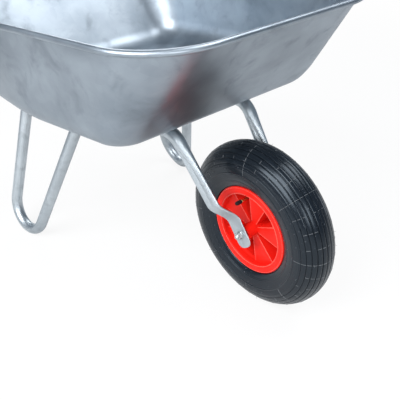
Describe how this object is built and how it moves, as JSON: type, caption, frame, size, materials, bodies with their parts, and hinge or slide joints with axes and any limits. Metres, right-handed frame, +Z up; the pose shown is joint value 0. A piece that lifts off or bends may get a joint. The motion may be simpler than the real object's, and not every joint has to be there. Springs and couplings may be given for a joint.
{
  "type": "wheelbarrow",
  "caption": "Single-wheel barrow with a deep pressed steel tray on a bent-tube frame, splayed leg loops, ribbed grips and a pneumatic wheel with a moulded rim.",
  "frame": {"origin": "middle of the footprint box, on the ground", "axes": "+X forwards to the wheel, +Y to the left, +Z up"},
  "size_m": [1.4602, 0.7236, 0.668],
  "materials": {
    "galvanised_sheet": "smooth galvanised sheet, soft gloss",
    "galvanised_tube": "galvanised tube, satin",
    "zinc_plate": "bright zinc plate",
    "plain_steel": "ground and oiled",
    "red_plastic": "glossy moulded",
    "tyre_rubber": "matt moulded",
    "tube_rubber": "matt",
    "grip_rubber": "satin, ribbed",
    "valve_brass": "plain brass",
    "cap_plastic": "matt"
  },
  "bodies": {
    "frame": {"tray": "galvanised_sheet", "frame_tube_left": "galvanised_tube", "frame_tube_right": "galvanised_tube", "leg_loop_left": "galvanised_tube", "leg_loop_right": "galvanised_tube", "front_cross_strap": "galvanised_tube", "rear_cross_strap": "galvanised_tube", "tray_bolts": "zinc_plate", "tray_washers": "zinc_plate", "tray_nuts": "zinc_plate", "leg_bolts": "zinc_plate", "leg_washers": "zinc_plate", "leg_nuts": "zinc_plate", "grip_left": "grip_rubber", "grip_right": "grip_rubber", "axle_bolt": "zinc_plate", "axle_washers": "zinc_plate", "axle_nut": "zinc_plate", "axle_sleeve": "plain_steel", "thrust_spacer_left": "zinc_plate", "thrust_spacer_right": "zinc_plate"},
    "wheel": {"rim": "red_plastic", "tyre": "tyre_rubber", "inner_tube": "tube_rubber", "bearing_left": "plain_steel", "bearing_right": "plain_steel", "valve_stem": "valve_brass", "valve_nut": "valve_brass", "valve_core": "zinc_plate"},
    "valve_cap": {"valve_cap": "cap_plastic"}
  },
  "joints": [
    {"name": "wheel_spin", "type": "hinge", "parent": "frame", "child": "wheel", "pos_m": [0.5302, 0, 0.2], "axis": [0, 1, 0], "continuous": true},
    {"name": "valve_cap_pull", "type": "slide", "parent": "wheel", "child": "valve_cap", "axis": [0, -1, 0], "range_m": [0, 0.012]}
  ]
}
